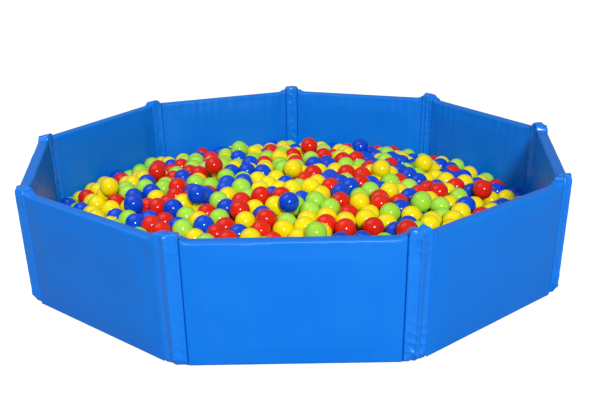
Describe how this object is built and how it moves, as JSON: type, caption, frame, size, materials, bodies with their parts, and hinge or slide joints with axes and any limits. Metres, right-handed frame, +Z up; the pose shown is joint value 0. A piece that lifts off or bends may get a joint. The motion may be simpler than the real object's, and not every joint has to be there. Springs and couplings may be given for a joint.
{
  "type": "ball pit",
  "caption": "Nine-sided ball pit: padded vinyl walls joined by corner sleeves that fold in two wings, a floor mat, and a bed of coloured balls.",
  "frame": {"origin": "middle of the ring of walls, on the underside of the floor mat", "axes": "+Z up, -Y towards the front wall, +X to the right of someone who faces the front wall from outside"},
  "size_m": [2.0198, 1.9902, 0.413],
  "materials": {
    "wall_vinyl": "satin vinyl, smooth",
    "sleeve_vinyl": "satin vinyl, puckered",
    "mat_vinyl": "satin vinyl",
    "foam": "open-cell foam, matt",
    "zip": "matt",
    "hook_tape": "stiff hooks, matt",
    "loop_tape": "soft loops, matt",
    "ball_yellow": "glossy",
    "ball_red": "glossy",
    "ball_blue": "glossy",
    "ball_green": "glossy"
  },
  "bodies": {
    "wall_7": {"wall_cover_7": "wall_vinyl", "wall_foam_7": "foam", "wall_zip_7": "zip", "corner_sleeve_6": "sleeve_vinyl", "corner_sleeve_7": "sleeve_vinyl", "mat_cover": "mat_vinyl", "mat_foam": "foam", "mat_zip": "zip", "ball_heap": "ball_yellow", "ball_yellow_1": "ball_yellow", "ball_yellow_2": "ball_yellow", "ball_yellow_3": "ball_yellow", "ball_yellow_4": "ball_yellow", "ball_yellow_5": "ball_yellow", "ball_red_1": "ball_red", "ball_red_2": "ball_red", "ball_red_3": "ball_red", "ball_red_4": "ball_red", "ball_red_5": "ball_red", "ball_blue_1": "ball_blue", "ball_blue_2": "ball_blue", "ball_blue_3": "ball_blue", "ball_blue_4": "ball_blue", "ball_green_1": "ball_green", "ball_green_2": "ball_green", "ball_green_3": "ball_green", "ball_green_4": "ball_green"},
    "wall_8": {"wall_cover_8": "wall_vinyl", "wall_foam_8": "foam", "wall_zip_8": "zip", "corner_sleeve_8": "sleeve_vinyl"},
    "wall_9": {"wall_cover_9": "wall_vinyl", "wall_foam_9": "foam", "wall_zip_9": "zip", "corner_sleeve_9": "sleeve_vinyl"},
    "wall_1": {"wall_cover_1": "wall_vinyl", "wall_foam_1": "foam", "wall_zip_1": "zip", "corner_sleeve_1": "sleeve_vinyl"},
    "wall_2": {"wall_cover_2": "wall_vinyl", "wall_foam_2": "foam", "wall_zip_2": "zip", "closure_loop_strip": "loop_tape"},
    "wall_6": {"wall_cover_6": "wall_vinyl", "wall_foam_6": "foam", "wall_zip_6": "zip", "corner_sleeve_5": "sleeve_vinyl"},
    "wall_5": {"wall_cover_5": "wall_vinyl", "wall_foam_5": "foam", "wall_zip_5": "zip", "corner_sleeve_4": "sleeve_vinyl"},
    "wall_4": {"wall_cover_4": "wall_vinyl", "wall_foam_4": "foam", "wall_zip_4": "zip", "corner_sleeve_3": "sleeve_vinyl"},
    "wall_3": {"wall_cover_3": "wall_vinyl", "wall_foam_3": "foam", "wall_zip_3": "zip", "corner_sleeve_2": "sleeve_vinyl", "closure_hook_strip": "hook_tape"}
  },
  "joints": [
    {"name": "front_wing_fold", "type": "hinge", "parent": "wall_7", "child": "wall_8", "pos_m": [-1.01369, 0.17874, 0], "axis": [0, 0, -1], "range_deg": [0, 220]},
    {"name": "corner_8_hinge", "type": "hinge", "parent": "wall_8", "child": "wall_9", "pos_m": [-0.83961, -0.48475, 0], "axis": [0, 0, 1], "range_deg": [0, 140]},
    {"name": "corner_9_hinge", "type": "hinge", "parent": "wall_9", "child": "wall_1", "pos_m": [-0.35205, -0.96725, 0], "axis": [0, 0, -1], "range_deg": [0, 220]},
    {"name": "corner_1_hinge", "type": "hinge", "parent": "wall_1", "child": "wall_2", "pos_m": [0.33159, -0.91103, 0], "axis": [0, 0, 1], "range_deg": [0, 140]},
    {"name": "back_wing_fold", "type": "hinge", "parent": "wall_7", "child": "wall_6", "pos_m": [-0.66164, 0.78851, 0], "axis": [0, 0, 1], "range_deg": [0, 112]},
    {"name": "corner_5_hinge", "type": "hinge", "parent": "wall_6", "child": "wall_5", "pos_m": [0, 0.9695, 0], "axis": [0, 0, -1], "range_deg": [0, 140]},
    {"name": "corner_4_hinge", "type": "hinge", "parent": "wall_5", "child": "wall_4", "pos_m": [0.66164, 0.78851, 0], "axis": [0, 0, 1], "range_deg": [0, 220]},
    {"name": "corner_3_hinge", "type": "hinge", "parent": "wall_4", "child": "wall_3", "pos_m": [0.95477, 0.16835, 0], "axis": [0, 0, -1], "range_deg": [0, 140]}
  ],
  "couplings": [
    {"joint": "corner_8_hinge", "follows": "front_wing_fold", "ratio": 0.63636},
    {"joint": "corner_9_hinge", "follows": "front_wing_fold", "ratio": 1},
    {"joint": "corner_1_hinge", "follows": "front_wing_fold", "ratio": 0.63636},
    {"joint": "corner_5_hinge", "follows": "back_wing_fold", "ratio": 1.25},
    {"joint": "corner_4_hinge", "follows": "back_wing_fold", "ratio": 1.9643},
    {"joint": "corner_3_hinge", "follows": "back_wing_fold", "ratio": 1.25}
  ]
}
